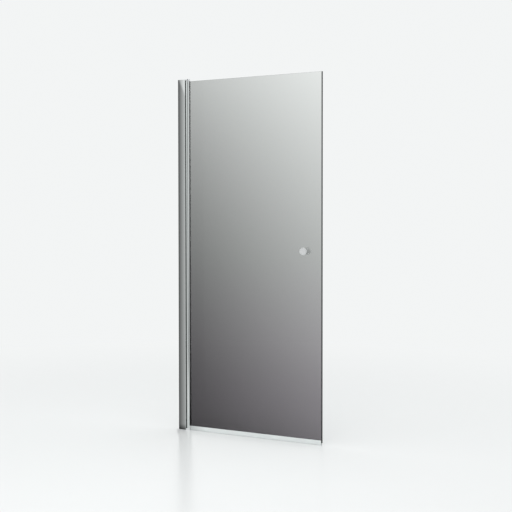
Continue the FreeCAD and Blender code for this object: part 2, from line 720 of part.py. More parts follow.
def cam_follower():
    """Plug in the barrel's foot whose helical underside climbs the fixed cam as the leaf turns."""
    body = new_body("cam_follower")
    neck_low = ramp_low + ramp_rise + d.cam_gap
    flatted_plug(body, follower_foot, follower_top - follower_foot)
    neck = new_sketch(body, "neck", offset=neck_low)
    circle(neck, ZERO, ZERO, cam_radius)
    pad(body, "neck", neck, follower_foot - neck_low)
    bore = new_sketch(body, "bore", offset=neck_low)
    circle(bore, ZERO, ZERO, cam_bore)
    pocket(body, "bore", bore, journal_top + d.shank_room - neck_low, back=True)
    half = d.spindle_square / 2 + d.square_fit
    socket = new_sketch(body, "socket", offset=journal_top)
    rectangle(socket, -half, half, -half, half)
    pocket(body, "socket", socket, d.shank_length + d.shank_room, back=True)
    set_screw_holes(body, "set_screw_holes", ZERO, lower_set_screw)
    ramps(body, ramp_low + d.cam_gap, ramp_block, d.cam_stop_angle)
    place(body, pivot, ZERO, ZERO)


def upper_bush():
    """Plug in the barrel's top with the bore for the spigot, and the collar that bridges the lift gap."""
    body = new_body("upper_bush")
    flatted_plug(body, upper_bush_foot, d.upper_bush_length)
    collar = new_sketch(body, "collar", offset=leaf_top)
    circle(collar, ZERO, ZERO, collar_radius)
    circle(collar, ZERO, ZERO, collar_inner)
    pad(body, "collar", collar, lift + d.lift_clear + d.collar_lap)
    bore = new_sketch(body, "bore", offset=upper_bush_foot)
    circle(bore, ZERO, ZERO, spigot_radius + d.pivot_fit)
    pocket(body, "bore", bore, d.upper_bush_length, back=True)
    set_screw_holes(body, "set_screw_holes", ZERO, upper_set_screw)
    place(body, pivot, ZERO, ZERO)


def plug_screws():
    """Set screws that hold the two plugs in the barrel."""
    face = d.barrel_radius - d.set_screw_sink
    for label, first in (("follower_set_screws", lower_set_screw), ("bush_set_screws", upper_set_screw)):
        set_screws(label, d.set_screw_radius, face - d.set_screw_end, d.set_screw_pitch, PAIR,
                   (pivot, face, first), HEADS_TO_BATHER)


def door_glass():
    """Pane with ground edges and one hole for the knobs."""
    body = new_body("door_glass")
    pane = new_sketch(body, "pane", "XZ_Plane", glass_half)
    rectangle(pane, glass_edge, d.door_width, glass_foot, glass_top)
    pad(body, "pane", pane, d.glass_thick, back=True)
    hole = new_sketch(body, "knob_hole", "XZ_Plane", glass_half)
    circle(hole, knob_x, d.knob_height, d.knob_hole_radius)
    pocket(body, "knob_hole", hole, d.glass_thick)

    def on_face(edge):
        return edge.BoundBox.YLength < SAME and near(abs(edge.BoundBox.Center.y), glass_half)

    dress(body, "Chamfer", "arris", d.arris, on_face)


def glazing_gaskets():
    """Strips between each jaw and the glass that clip round the jaw's end, with a lip wedged on the glass."""
    foot = seal_top + d.gasket_foot_gap
    flap_start = pivot + root(d.barrel_radius * d.barrel_radius - jaw_half * jaw_half) + d.gasket_wrap_gap
    flap_face = jaw_half + d.gasket_wrap_thick
    tip = jaw_end + d.gasket_lip
    half = [(slot_floor, glass_half), (slot_floor, slot_half), (jaw_end, slot_half), (jaw_end, jaw_half),
            (flap_start, jaw_half), (flap_start, flap_face), (jaw_end + d.gasket_lip_flat, flap_face),
            (tip, glass_half + d.gasket_tip), (tip, glass_half)]
    for label, side in (("outer_glazing_gasket", OUTER), ("inner_glazing_gasket", INNER)):
        body = new_body(label)
        section = new_sketch(body, "section", offset=foot)
        outline(section, [(x, y * side) for x, y in half])
        pad(body, "extrusion", section, leaf_top - foot)


def floor_seal():
    """Clear strip pushed on the glass from below, with two lips that sweep the floor when closed."""
    body = new_body("floor_seal")
    inside = glass_half + d.seal_fit
    outside = inside + d.seal_wall
    web_top = glass_foot - d.seal_fit
    web_foot = web_top - d.seal_wall
    start = jaw_end + d.seal_end_gap
    leaning = outside + d.fin_splay
    section = new_sketch(body, "section", "YZ_Plane", start)
    outline(section, [
        (-outside, seal_top), (-inside, seal_top), (-inside, web_top),
        (inside, web_top), (inside, seal_top), (outside, seal_top),
        (outside, web_foot), (leaning, d.seal_floor_gap), (leaning - d.fin_wall, d.seal_floor_gap),
        (outside - d.fin_wall, web_foot), (d.fin_wall - outside, web_foot),
        (d.fin_wall - outside, d.seal_floor_gap), (-outside, d.seal_floor_gap)])
    pad(body, "extrusion", section, d.door_width - d.seal_end_gap - start)


def knob(label, side):
    """Turned knob with a foot, a neck and a pebble-shaped head, on its own axis along Y."""
    body = new_body(label)
    head_end = head_foot + d.knob_head
    bore = d.stud_radius + d.stud_fit
    bore_end = knob_seat + d.stud_reach + d.stud_room
    half = [(bore, knob_seat), (d.knob_base_radius, knob_seat), (d.knob_base_radius, neck_foot),
            (d.knob_neck_radius, neck_foot), (d.knob_neck_radius, head_foot), (d.knob_head_radius, head_foot),
            (d.knob_head_radius, head_end), (ZERO, head_end), (ZERO, bore_end), (bore, bore_end)]
    profile = new_sketch(body, "profile")
    outline(profile, [(radius, along * side) for radius, along in half])
    revolve(body, "turned", profile)
    overhang = d.knob_head_radius - d.knob_neck_radius
    back_round = limited(d.knob_back_round, overhang * BACK_ROUND_SHARE)
    front_room = (d.knob_head - back_round) * FRONT_ROUND_SHARE
    for name, size, along, radius in (
        ("front_edge", limited(d.knob_front_round, front_room), head_end, d.knob_head_radius),
        ("back_edge", back_round, head_foot, d.knob_head_radius),
        ("neck_hollow", limited(d.knob_neck_round, overhang * NECK_ROUND_SHARE), head_foot, d.knob_neck_radius),
        ("foot_edge", d.knob_base_round, neck_foot, d.knob_base_radius),
    ):
        dress(body, "Fillet", name, size, lambda edge: ring_at(edge, "y", along * side, radius))
    place(body, knob_x, ZERO, d.knob_height)
    return body


def knob_set():
    """Two knobs on one stud through the glass, with what seats and locks them."""
    knob("outer_knob", OUTER)
    inner = knob("inner_knob", INNER)
    middle = neck_foot + d.knob_neck / 2
    grub_hole = new_sketch(inner, "grub_hole", offset=-d.knob_neck_radius)
    circle(grub_hole, ZERO, middle, d.grub_radius + d.screw_fit)
    pocket(inner, "grub_hole", grub_hole, d.knob_neck_radius - d.stud_radius, back=True)
    grub_foot = d.knob_neck_radius - d.grub_sink
    set_screws("knob_grub_screw", d.grub_radius, grub_foot - d.stud_radius - d.stud_fit, ZERO, 1,
               (knob_x, middle, d.knob_height - grub_foot), HEADS_DOWN)
    for label, side in (("outer_knob_washer", OUTER), ("inner_knob_washer", INNER)):
        washer = new_body(label)
        ring = new_sketch(washer, "ring", "XZ_Plane", -glass_half * side)
        circle(ring, ZERO, ZERO, d.washer_radius)
        circle(ring, ZERO, ZERO, d.stud_radius + d.sleeve_fit)
        pad(washer, "ring", ring, d.washer_thick, back=side == INNER)
        place(washer, knob_x, ZERO, d.knob_height)
    sleeve = new_body("knob_sleeve")
    ring = new_sketch(sleeve, "ring", "XZ_Plane", glass_half)
    circle(ring, ZERO, ZERO, d.knob_hole_radius - d.sleeve_fit)
    circle(ring, ZERO, ZERO, d.stud_radius + d.sleeve_fit)
    pad(sleeve, "ring", ring, d.glass_thick, back=True)
    place(sleeve, knob_x, ZERO, d.knob_height)
    stud = new_body("knob_stud")
    rod = new_sketch(stud, "rod", "XZ_Plane", knob_seat + d.stud_reach)
    circle(rod, ZERO, ZERO, d.stud_radius)
    pad(stud, "rod", rod, (knob_seat + d.stud_reach) * 2, back=True)
    place(stud, knob_x, ZERO, d.knob_height)


def check_and_write():
    """Stop on any failed object or bad shape, then write each piece to its own file."""
    doc.recompute()
    for item in doc.Objects:
        if {"Invalid", "Error"} & set(item.State):
            raise RuntimeError(f"{item.Name} failed: {item.State}")
    for body in nodes:
        if body.Shape.isNull() or not body.Shape.isValid():
            raise RuntimeError(f"{body.Label} has a bad shape")
    os.makedirs("parts", exist_ok=True)
    for body in nodes:
        body.Shape.exportStep(f"parts/{body.Label}.step")
        box = body.Shape.BoundBox
        print(f"{body.Label:24s} solids {len(body.Shape.Solids)} volume {body.Shape.Volume:12.1f}"
              f"  size {box.XLength:7.1f} {box.YLength:6.1f} {box.ZLength:7.1f}")


wall_profile()
channel_cap()
hinge_post()
lower_pivot_bracket()
spindle_bush()
lift_cam()
upper_pivot_bracket()
wall_fasteners()
spindle()
leaf_profile()
cam_follower()
upper_bush()
plug_screws()
door_glass()
glazing_gaskets()
floor_seal()
knob_set()
check_and_write()
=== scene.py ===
"""Looks of a hinged shower door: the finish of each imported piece, its soft strips and a plain studio."""
import logging
import math
from dataclasses import dataclass, replace
from enum import Enum

import bmesh
import bpy
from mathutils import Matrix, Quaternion, Vector


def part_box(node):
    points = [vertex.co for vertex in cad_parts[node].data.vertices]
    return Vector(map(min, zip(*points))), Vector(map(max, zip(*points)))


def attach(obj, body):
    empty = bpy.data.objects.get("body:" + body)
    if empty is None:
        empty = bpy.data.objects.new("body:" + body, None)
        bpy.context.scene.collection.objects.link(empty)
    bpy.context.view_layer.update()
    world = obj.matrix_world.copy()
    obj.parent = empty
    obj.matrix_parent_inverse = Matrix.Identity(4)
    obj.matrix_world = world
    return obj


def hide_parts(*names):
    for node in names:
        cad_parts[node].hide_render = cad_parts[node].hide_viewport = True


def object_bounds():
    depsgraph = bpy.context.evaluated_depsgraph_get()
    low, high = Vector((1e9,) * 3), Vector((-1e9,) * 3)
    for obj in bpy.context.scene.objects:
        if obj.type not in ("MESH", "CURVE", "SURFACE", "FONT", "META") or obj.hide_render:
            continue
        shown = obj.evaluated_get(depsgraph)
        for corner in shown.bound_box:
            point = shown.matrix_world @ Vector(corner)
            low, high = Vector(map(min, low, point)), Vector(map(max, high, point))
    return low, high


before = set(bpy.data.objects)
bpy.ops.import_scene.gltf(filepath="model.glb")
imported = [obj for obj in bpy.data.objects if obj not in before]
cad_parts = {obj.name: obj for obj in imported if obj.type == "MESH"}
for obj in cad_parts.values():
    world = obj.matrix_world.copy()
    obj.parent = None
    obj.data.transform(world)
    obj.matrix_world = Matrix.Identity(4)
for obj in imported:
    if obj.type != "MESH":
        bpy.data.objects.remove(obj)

CAD_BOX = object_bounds()
MM = 0.001
Pair = tuple[float, float]
Triple = tuple[float, float, float]
Socket = bpy.types.NodeSocket

# Limits between which soft noise mostly lies.
NOISE_RANGE: Pair = (0.3, 0.7)
# Places of the Mix node's colour sockets, because several of its sockets share a name.
MIX_FACTOR, MIX_FIRST, MIX_SECOND, MIX_RESULT = 0, 6, 7, 2
# Power that turns a tone on the screen into a share of light.
DISPLAY_POWER = 2.2
# Factor that gives height times one minus height a peak of one.
ARCH_PEAK = 4.0
# Distances between which a mirror loses sight of a card of the stage.
CARD_REACH: Pair = (90.0 * MM, 180.0 * MM)
# Angle between faces from which a new piece keeps a sharp edge.
SMOOTH_ANGLE = math.radians(40.0)
# Distance within which points of a full spin are merged.
MERGE_DISTANCE = 0.001 * MM

logging.basicConfig(level=logging.INFO, format="%(name)s: %(message)s")
log = logging.getLogger("shower_door")


class Side(Enum):
    """The two faces of the glass, by the sign of Y."""

    OUTER = -1
    INNER = 1


class Slot(Enum):
    """Material slots of the record."""

    GASKET = "dark_gasket"
    SEAL = "clear_seal"
    BEARING = "bearing_plastic"


class Axis(Enum):
    """Axes of the door along which a strip's colour may run."""

    X = "x"
    Z = "z"


class Ease(Enum):
    """Ways in which a value runs between two levels."""

    STRAIGHT = "LINEAR"
    SMOOTH = "SMOOTHSTEP"


class ShaderTree:
    """Nodes of one material, added and linked by short calls."""

    def __init__(self, name: str) -> None:
        """Start a material that holds only its output.

        Args:
            name: Name of the material.
        """
        self.material = bpy.data.materials.new(name)
        self.material.use_nodes = True
        self.nodes = self.material.node_tree.nodes
        self.nodes.clear()
        self.output = self.nodes.new("ShaderNodeOutputMaterial")

    def add(self, kind: str, **settings: object) -> bpy.types.Node:
        """Add a node and set its properties.

        Args:
            kind: Shader node type without its prefix.
            settings: Properties of the node.

        Returns:
            The new node.
        """
        node = self.nodes.new("ShaderNode" + kind)
        for key, value in settings.items():
            setattr(node, key, value)
        return node

    def fill(self, socket: Socket, value: object) -> None:
        """Link a socket to its source, or set it to a plain value.

        Args:
            socket: Socket that is filled.
            value: Socket that it is linked to, or its value.
        """
        if isinstance(value, Socket):
            self.material.node_tree.links.new(value, socket)
        else:
            socket.default_value = value

    def feed(self, node: bpy.types.Node, **inputs: object) -> bpy.types.Node:
        """Fill inputs by name.

        Args:
            node: Node whose inputs are filled.
            inputs: Socket names, with underscores for spaces, and their sources.

        Returns:
            The same node.
        """
        for key, value in inputs.items():
            self.fill(node.inputs[key.replace("_", " ")], value)
        return node

    def place(self, scale: Triple = (1.0, 1.0, 1.0)) -> Socket:
        """Object coordinates, stretched along each axis.

        Args:
            scale: Factor along X, Y and Z.

        Returns:
            The stretched coordinates.
        """
        source = self.add("TexCoord").outputs["Object"]
        return self.feed(self.add("Mapping"), Vector=source, Scale=scale).outputs["Vector"]

    def axes(self, vector: Socket) -> dict[str, Socket]:
        """The three parts of a vector by the names of their axes."""
        parts = self.feed(self.add("SeparateXYZ"), Vector=vector)
        return {axis: parts.outputs[axis] for axis in "XYZ"}

    def noise(self, scale: Triple, detail: float) -> Socket:
        """Soft noise with its own scale along each axis.

        Args:
            scale: Features per metre along X, Y and Z.
            detail: Number of finer layers.

        Returns:
            The noise value, near one half on average.
        """
        texture = self.feed(self.add("TexNoise"), Vector=self.place(scale), Scale=1.0, Detail=detail)
        return texture.outputs["Fac"]

    def ramp(self, value: Socket, start: float, end: float, low: float, high: float,
             ease: Ease = Ease.STRAIGHT) -> Socket:
        """Value that runs between two levels while another runs between two limits.

        Args:
            value: Value that leads.
            start: Its first limit.
            end: Its second limit.
            low: Result at the first limit.
            high: Result at the second limit.
            ease: Way in which the result runs.

        Returns:
            The result, held at its levels outside the limits.
        """
        node = self.add("MapRange", interpolation_type=ease.value)
        self.feed(node, Value=value, From_Min=start, From_Max=end, To_Min=low, To_Max=high)
        return node.outputs["Result"]

    def spread(self, noise: Socket, low: float, high: float) -> Socket:
        """Noise stretched from its usual range to new limits."""
        return self.ramp(noise, *NOISE_RANGE, low, high)

    def mix(self, factor: Socket, first: object, second: object) -> Socket:
        """Blend of two colours.

        Args:
            factor: Share of the second colour.
            first: Colour or source at zero.
            second: Colour or source at one.

        Returns:
            The blended colour.
        """
        node = self.add("Mix", data_type="RGBA")
        self.fill(node.inputs[MIX_FACTOR], factor)
        for number, colour in ((MIX_FIRST, first), (MIX_SECOND, second)):
            self.fill(node.inputs[number], colour if isinstance(colour, Socket) else (*colour, 1.0))
        return node.outputs[MIX_RESULT]

    def math(self, operation: str, *values: object) -> Socket:
        """Result of one sum on sockets or plain values.

        Args:
            operation: Name of the sum.
            values: Sockets or numbers that it takes.

        Returns:
            The result.
        """
        node = self.add("Math", operation=operation)
        for socket, value in zip(node.inputs, values):
            self.fill(socket, value)
        return node.outputs["Value"]

    def scaled(self, colour: Socket, strength: Socket) -> Socket:
        """Colour times a strength."""
        node = self.add("VectorMath", operation="SCALE")
        return self.feed(node, Vector=colour, Scale=strength).outputs["Vector"]

    def bump(self, height: Socket, depth: float) -> Socket:
        """Surface normal bent by a relief.

        Args:
            height: Relief between zero and one.
            depth: Depth of the relief in metres.

        Returns:
            The bent normal.
        """
        return self.feed(self.add("Bump"), Height=height, Distance=depth).outputs["Normal"]

    def close(self, shader: bpy.types.Node) -> bpy.types.Material:
        """End the tree with a shader and give back its material."""
        self.fill(self.output.inputs["Surface"], shader.outputs[0])
        return self.material

    def blend(self, factor: Socket, first: bpy.types.Node, second: bpy.types.Node) -> bpy.types.Material:
        """End the tree with a mix of two shaders.

        Args:
            factor: Share of the second shader.
            first: Shader at zero.
            second: Shader at one.

        Returns:
            The finished material.
        """
        node = self.add("MixShader")
        for socket, source in zip(node.inputs, (factor, first.outputs[0], second.outputs[0])):
            self.fill(socket, source)
        return self.close(node)

    def glow(self, strength: Socket) -> bpy.types.Material:
        """End the tree with a glow that only mirrors nearby show.

        Args:
            strength: Brightness of the glow.

        Returns:
            The finished material.
        """
        light = self.feed(self.add("Emission"), Strength=strength)
        way = self.add("LightPath").outputs["Ray Length"]
        return self.blend(self.ramp(way, *CARD_REACH, 0.0, 1.0), light, self.add("BsdfTransparent"))

    def surface(self, **inputs: object) -> bpy.types.Material:
        """End the tree with a principled surface.

        Args:
            inputs: Sockets of the surface and their sources.

        Returns:
            The finished material.
        """
        return self.close(self.feed(self.add("BsdfPrincipled"), **inputs))


@dataclass(frozen=True)
class Metal:
    """Bright metal with faint lines from its die or tool, slight haze and, where set, painted light graded by
    height.

    Attributes:
        name: Name of the finish.
        colour: Colour where the metal is clean.
        haze: Colour where it is slightly dulled.
        roughness: Lowest and highest roughness.
        grain: Lines per metre along X, Y and Z.
        relief: Depth of the lines in metres.
        shade: Shares of the colour at the door's foot and at its top, a painted light graded by height.
        grain_detail: Number of finer layers of the lines.
        cloud: Patches of haze per metre along X, Y and Z.
        cloud_detail: Number of finer layers of the haze.
    """

    name: str
    colour: Triple
    haze: Triple
    roughness: Pair
    grain: Triple
    relief: float
    shade: Pair = (1.0, 1.0)
    grain_detail: float = 3.0
    cloud: Triple = (9.0, 9.0, 3.0)
    cloud_detail: float = 4.0

    def material(self) -> bpy.types.Material:
        """The metal as a node material.

        Returns:
            The finished material.
        """
        tree = ShaderTree(self.name)
        lines = tree.noise(self.grain, self.grain_detail)
        cloud = tree.noise(self.cloud, self.cloud_detail)
        colour = tree.mix(tree.spread(cloud, 0.0, 1.0), self.colour, self.haze)
        # Painted light: the colour is scaled by height, from the foot share to the top share.
        painted_light_share = tree.ramp(tree.axes(tree.place())["Z"], CAD_BOX[0].z, CAD_BOX[1].z, *self.shade)
        return tree.surface(
            Base_Color=tree.scaled(colour, painted_light_share),
            Metallic=1.0,
            Roughness=tree.spread(cloud, *self.roughness),
            Normal=tree.bump(lines, self.relief),
        )


@dataclass(frozen=True)
class SmokedGlass:
    """Smoke grey glass whose tone darkens towards its foot and its hinge, with dark ground edges.

    Attributes:
        name: Name of the finish.
        foot: Tones on the screen along the foot, by the hinge and by the free edge.
        top: Tones along the top, by the hinge and by the free edge.
        bow: How far the tone at mid width leans to that of the free edge.
        sag: Drop of the tone at mid height, by the hinge and by the free edge.
        foot_tint: Share of red, green and blue at the foot.
        top_tint: Share of red, green and blue at the top.
        tint_rise: Shares of the height between which the tint changes.
        edge: Colour of the ground edges.
        edge_roughness: Roughness of the ground edges.
        edge_zone: Width of the zone along the outline whose edges are dark.
        face_normal: Part of the normal along Y from which a surface counts as a face.
        index: Refractive index.
        rim: Width of the dark line that the free edge throws on the faces.
        rim_core: Share of that width over which the line is fully dark.
        rim_share: Share of light that passes in the line.
    """

    name: str = "smoked_glass"
    foot: Pair = (0.287, 0.49)
    top: Pair = (0.755, 0.943)
    bow: float = 0.18
    sag: Pair = (0.031, 0.0)
    foot_tint: Triple = (1.03, 0.965, 1.03)
    top_tint: Triple = (0.995, 1.012, 0.995)
    tint_rise: Pair = (0.1, 0.5)
    edge: Triple = (0.004, 0.005, 0.005)
    edge_roughness: float = 0.35
    edge_zone: float = 20.0 * MM
    face_normal: float = 0.6
    index: float = 1.17
    rim: float = 4.6 * MM
    rim_core: float = 0.9
    rim_share: float = 0.04

    def material(self, low: Vector, high: Vector) -> bpy.types.Material:
        """The glass as a node material, graded over the pane.

        Args:
            low: Lowest corner of the pane.
            high: Highest corner of the pane.

        Returns:
            The finished material.
        """
        tree = ShaderTree(self.name)
        where = tree.axes(tree.place())
        smoke = self.smoke(tree, where, low, high)
        # The smoke counts once, along a line of sight, and not in light that reaches other pieces.
        rays = tree.add("LightPath")
        glances = tree.math("ADD", rays.outputs["Diffuse Depth"], rays.outputs["Glossy Depth"])
        tinted = tree.mix(tree.math("GREATER_THAN", glances, 0.0), smoke, (1.0, 1.0, 1.0))
        clear = self.clear_part(tree, where, low, high)
        return tree.surface(
            Base_Color=tree.mix(clear, self.edge, tinted),
            Roughness=tree.ramp(clear, 0.0, 1.0, self.edge_roughness, 0.0),
            IOR=self.index,
            Transmission_Weight=clear,
        )

    def smoke(self, tree: ShaderTree, where: dict[str, Socket], low: Vector, high: Vector) -> Socket:
        """Colour of the light that passes through the pane.

        Args:
            tree: Nodes of the material.
            where: Object coordinates by axis.
            low: Lowest corner of the pane.
            high: Highest corner of the pane.

        Returns:
            The graded colour.
        """
        across = tree.ramp(where["X"], low.x, high.x, 0.0, 1.0)
        bowed = tree.math("MULTIPLY", across, tree.ramp(across, 0.0, 1.0, 1.0 + self.bow, 1.0))
        height = tree.ramp(where["Z"], low.z, high.z, 0.0, 1.0)
        arch = tree.math("MULTIPLY", height, tree.math("SUBTRACT", 1.0, height))
        hinge, free = (
            tree.math("MULTIPLY_ADD", arch, -ARCH_PEAK * sag, tree.ramp(height, 0.0, 1.0, foot, top))
            for foot, top, sag in zip(self.foot, self.top, self.sag)
        )
        tone = tree.math("MULTIPLY_ADD", tree.math("SUBTRACT", free, hinge), bowed, hinge)
        tint = tree.mix(tree.ramp(height, *self.tint_rise, 0.0, 1.0), self.foot_tint, self.top_tint)
        # Painted shade: the faces darken in a line along the free edge.
        rim_start, rim_full = high.x - self.rim, high.x - self.rim * self.rim_core
        rim = tree.ramp(where["X"], rim_start, rim_full, 1.0, self.rim_share)
        return tree.scaled(tint, tree.math("MULTIPLY", tree.math("POWER", tone, DISPLAY_POWER), rim))

    def clear_part(self, tree: ShaderTree, where: dict[str, Socket], low: Vector, high: Vector) -> Socket:
        """One on the faces and in the bore, zero on the ground edges along the outline.

        Args:
            tree: Nodes of the material.
            where: Object coordinates by axis.
            low: Lowest corner of the pane.
            high: Highest corner of the pane.

        Returns:
            The share of clear glass.
        """
        normal = tree.axes(tree.add("TexCoord").outputs["Normal"])
        face = tree.math("GREATER_THAN", tree.math("ABSOLUTE", normal["Y"]), self.face_normal)
        middle, half = (low + high) / 2, (high - low) / 2
        away = [
            tree.math("LESS_THAN", tree.math("ABSOLUTE", tree.math("SUBTRACT", where[axis], centre)), reach)
            for axis, centre, reach in (("X", middle.x, half.x - self.edge_zone),
                                        ("Z", middle.z, half.z - self.edge_zone))
        ]
        return tree.math("MAXIMUM", face, tree.math("MULTIPLY", *away))


@dataclass(frozen=True)
class Strip:
    """Extruded soft strip, rubber or clear vinyl, whose colour may run along it as painted light and shade.

    Attributes:
        name: Name of the finish.
        first: Colour at its start.
        last: Colour from the end of its run.
        axis: Axis along which the colour runs.
        run: Share of its length over which the colour runs.
        roughness: Lowest and highest roughness.
        grain: Extrusion lines per metre along X, Y and Z.
        clearness: Share of light that passes through.
        gloss: Level of its reflections.
        relief: Depth of the lines in metres.
        bloom: Share by which its patches are darker.
        grain_detail: Number of finer layers of the lines.
        cloud: Patches per metre along X, Y and Z.
        cloud_detail: Number of finer layers of the patches.
    """

    name: str
    first: Triple
    last: Triple
    axis: Axis
    run: float
    roughness: Pair
    grain: Triple
    clearness: float
    gloss: float
    relief: float = 0.02 * MM
    bloom: float = 0.12
    grain_detail: float = 2.0
    cloud: Triple = (14.0, 14.0, 14.0)
    cloud_detail: float = 3.0

    def material(self, low: Vector, high: Vector) -> bpy.types.Material:
        """The strip as a node material.

        Args:
            low: Lowest corner of the strip.
            high: Highest corner of the strip.

        Returns:
            The finished material.
        """
        tree = ShaderTree(self.name)
        lines = tree.noise(self.grain, self.grain_detail)
        cloud = tree.noise(self.cloud, self.cloud_detail)
        # The colour's run along the strip is painted light and shade.
        start, end = (getattr(corner, self.axis.value) for corner in (low, high))
        run_end = start + self.run * (end - start)
        way = tree.ramp(tree.axes(tree.place())[self.axis.name], start, run_end, 0.0, 1.0)
        colour = tree.mix(way, self.first, self.last)
        return tree.surface(
            Base_Color=tree.scaled(colour, tree.spread(cloud, 1.0 - self.bloom, 1.0)),
            Roughness=tree.spread(lines, *self.roughness),
            Transmission_Weight=self.clearness,
            Specular_IOR_Level=self.gloss,
            Normal=tree.bump(lines, self.relief),
        )


@dataclass(frozen=True)
class Moulding:
    """Moulded plastic with a fine grain from its mould.

    Attributes:
        name: Name of the finish.
        colour: Main colour.
        shade: Colour in the grain's hollows.
        roughness: Lowest and highest roughness.
        grain: Grains per metre along X, Y and Z.
        grain_detail: Number of finer layers of the grain.
        relief: Depth of the grain in metres.
    """

    name: str
    colour: Triple
    shade: Triple
    roughness: Pair = (0.42, 0.58)
    grain: Triple = (2200.0, 2200.0, 2200.0)
    grain_detail: float = 2.0
    relief: float = 0.01 * MM

    def material(self) -> bpy.types.Material:
        """The plastic as a node material.

        Returns:
            The finished material.
        """
        tree = ShaderTree(self.name)
        grain = tree.noise(self.grain, self.grain_detail)
        return tree.surface(
            Base_Color=tree.mix(tree.spread(grain, 0.0, 1.0), self.shade, self.colour),
            Roughness=tree.spread(grain, *self.roughness),
            Normal=tree.bump(grain, self.relief),
        )


ALONG_Z = (2500.0, 2500.0, 4.0)
ALONG_X = (4.0, 2500.0, 2500.0)
ALL_WAYS = (900.0, 900.0, 900.0)
POLISHED_ALUMINIUM = Metal(
    "polished_aluminium", colour=(0.78, 0.812, 0.804), haze=(0.74, 0.772, 0.764), roughness=(0.08, 0.13),
    grain=ALONG_Z, relief=0.002 * MM,
)
# Painted light: the barrel's colour is darker at the door's foot and lighter at its top.
BARREL_ALUMINIUM_PAINTED_LIGHT = replace(POLISHED_ALUMINIUM, name="barrel_aluminium_painted_light", shade=(0.85, 1.12))
# Dark metal of the post; its grade by height is painted light, darker at the foot and lighter at the top.
GREY_ALUMINIUM = Metal(
    "grey_aluminium", colour=(0.197, 0.205, 0.203), haze=(0.167, 0.175, 0.173), roughness=(0.24, 0.32),
    grain=ALONG_Z, relief=0.004 * MM, shade=(0.65, 1.5),
)
CHROME = Metal(
    "chrome_plate", colour=(0.88, 0.89, 0.90), haze=(0.84, 0.85, 0.86), roughness=(0.05, 0.10),
    grain=ALL_WAYS, relief=0.0005 * MM,
)
SATIN_CHROME = Metal(
    "satin_chrome", colour=(0.69, 0.695, 0.70), haze=(0.65, 0.655, 0.66), roughness=(0.36, 0.44),
    grain=ALL_WAYS, relief=0.002 * MM,
)
# Painted light: the inner knob is a brighter copy of the outer knob's chrome, so that it reads lit behind the
# glass.
SATIN_CHROME_PAINTED_LIGHT = replace(
    SATIN_CHROME, name="satin_chrome_painted_light", colour=(0.95, 0.955, 0.96), haze=(0.92, 0.925, 0.93),
)
STAINLESS = Metal(
    "stainless_steel", colour=(0.62, 0.62, 0.61), haze=(0.54, 0.54, 0.53), roughness=(0.24, 0.36),
    grain=ALL_WAYS, relief=0.003 * MM,
)
# Painted light: the gasket runs from near black at the foot to grey at the top.
GASKET_RUBBER = Strip(
    "gasket_rubber", first=(0.006, 0.006, 0.0063), last=(0.23, 0.233, 0.233), axis=Axis.Z, run=1.0,
    roughness=(0.4, 0.55), grain=ALONG_Z, clearness=0.0, gloss=0.2,
)
# Painted light: the inner gasket is a paler copy of the same gasket, paler still towards the top.
GASKET_RUBBER_PAINTED_LIGHT = replace(
    GASKET_RUBBER, name="gasket_rubber_painted_light", first=(0.80, 0.81, 0.81), last=(0.92, 0.925, 0.925),
)
# Painted shade: the seal is darker near the hinge over the first part of its length.
CLEAR_VINYL = Strip(
    "clear_vinyl", first=(0.60, 0.625, 0.625), last=(0.875, 0.91, 0.905), axis=Axis.X, run=0.12,
    roughness=(0.2, 0.25), grain=ALONG_X, clearness=0.12, gloss=0.5, relief=0.002 * MM, bloom=0.03,
)
BEARING_PLASTIC = Moulding("bearing_plastic", colour=(0.62, 0.63, 0.64), shade=(0.55, 0.56, 0.57))
WHITE_NYLON = Moulding("white_nylon", colour=(0.93, 0.935, 0.93), shade=(0.88, 0.885, 0.88))


def dress(material: bpy.types.Material, *nodes: str) -> None:
    """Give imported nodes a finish.

    Args:
        material: The finish.
        nodes: Names of the nodes.
    """
    for node in nodes:
        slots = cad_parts[node].material_slots
        for slot in slots:
            slot.material = material
        if not slots:
            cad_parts[node].data.materials.append(material)
        log.info("%s dressed in %s", node, material.name)


def settle(shape: bmesh.types.BMesh, name: str, node: str, material: bpy.types.Material) -> None:
    """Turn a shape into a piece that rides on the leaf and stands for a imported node.

    Args:
        shape: The shape, which is used up.
        name: Name of the piece.
        node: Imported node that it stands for.
        material: Finish of the piece.
    """
    bmesh.ops.recalc_face_normals(shape, faces=shape.faces[:])
    mesh = bpy.data.meshes.new(name)
    shape.to_mesh(mesh)
    shape.free()
    mesh.shade_smooth()
    mesh.set_sharp_from_angle(angle=SMOOTH_ANGLE)
    mesh.materials.append(material)
    piece = bpy.data.objects.new(name, mesh)
    bpy.context.scene.collection.objects.link(piece)
    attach(piece, "door_leaf")
    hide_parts(node)
    log.info("%s made for %s", name, node)


@dataclass
class SoftStrip:
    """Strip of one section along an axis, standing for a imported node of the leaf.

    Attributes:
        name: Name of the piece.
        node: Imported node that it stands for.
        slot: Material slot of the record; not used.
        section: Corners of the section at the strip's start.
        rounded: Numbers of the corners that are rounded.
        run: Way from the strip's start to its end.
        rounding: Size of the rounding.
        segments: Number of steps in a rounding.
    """

    name: str
    node: str
    slot: Slot
    section: list[Vector]
    rounded: tuple[int, ...]
    run: Vector
    rounding: float
    segments: int = 4

    def build(self, material: bpy.types.Material) -> None:
        """Make the strip and let it ride on the leaf.

        Args:
            material: Finish of the strip.
        """
        shape = bmesh.new()
        corners = [shape.verts.new(corner) for corner in self.section]
        shape.faces.new(corners)
        bmesh.ops.bevel(shape, geom=[corners[number] for number in self.rounded], offset=self.rounding,
                        affect="VERTICES", segments=self.segments, profile=0.5, material=-1)
        made = bmesh.ops.extrude_face_region(shape, geom=shape.faces[:])
        moved = [item for item in made["geom"] if isinstance(item, bmesh.types.BMVert)]
        bmesh.ops.translate(shape, verts=moved, vec=self.run)
        settle(shape, self.name, self.node, material)


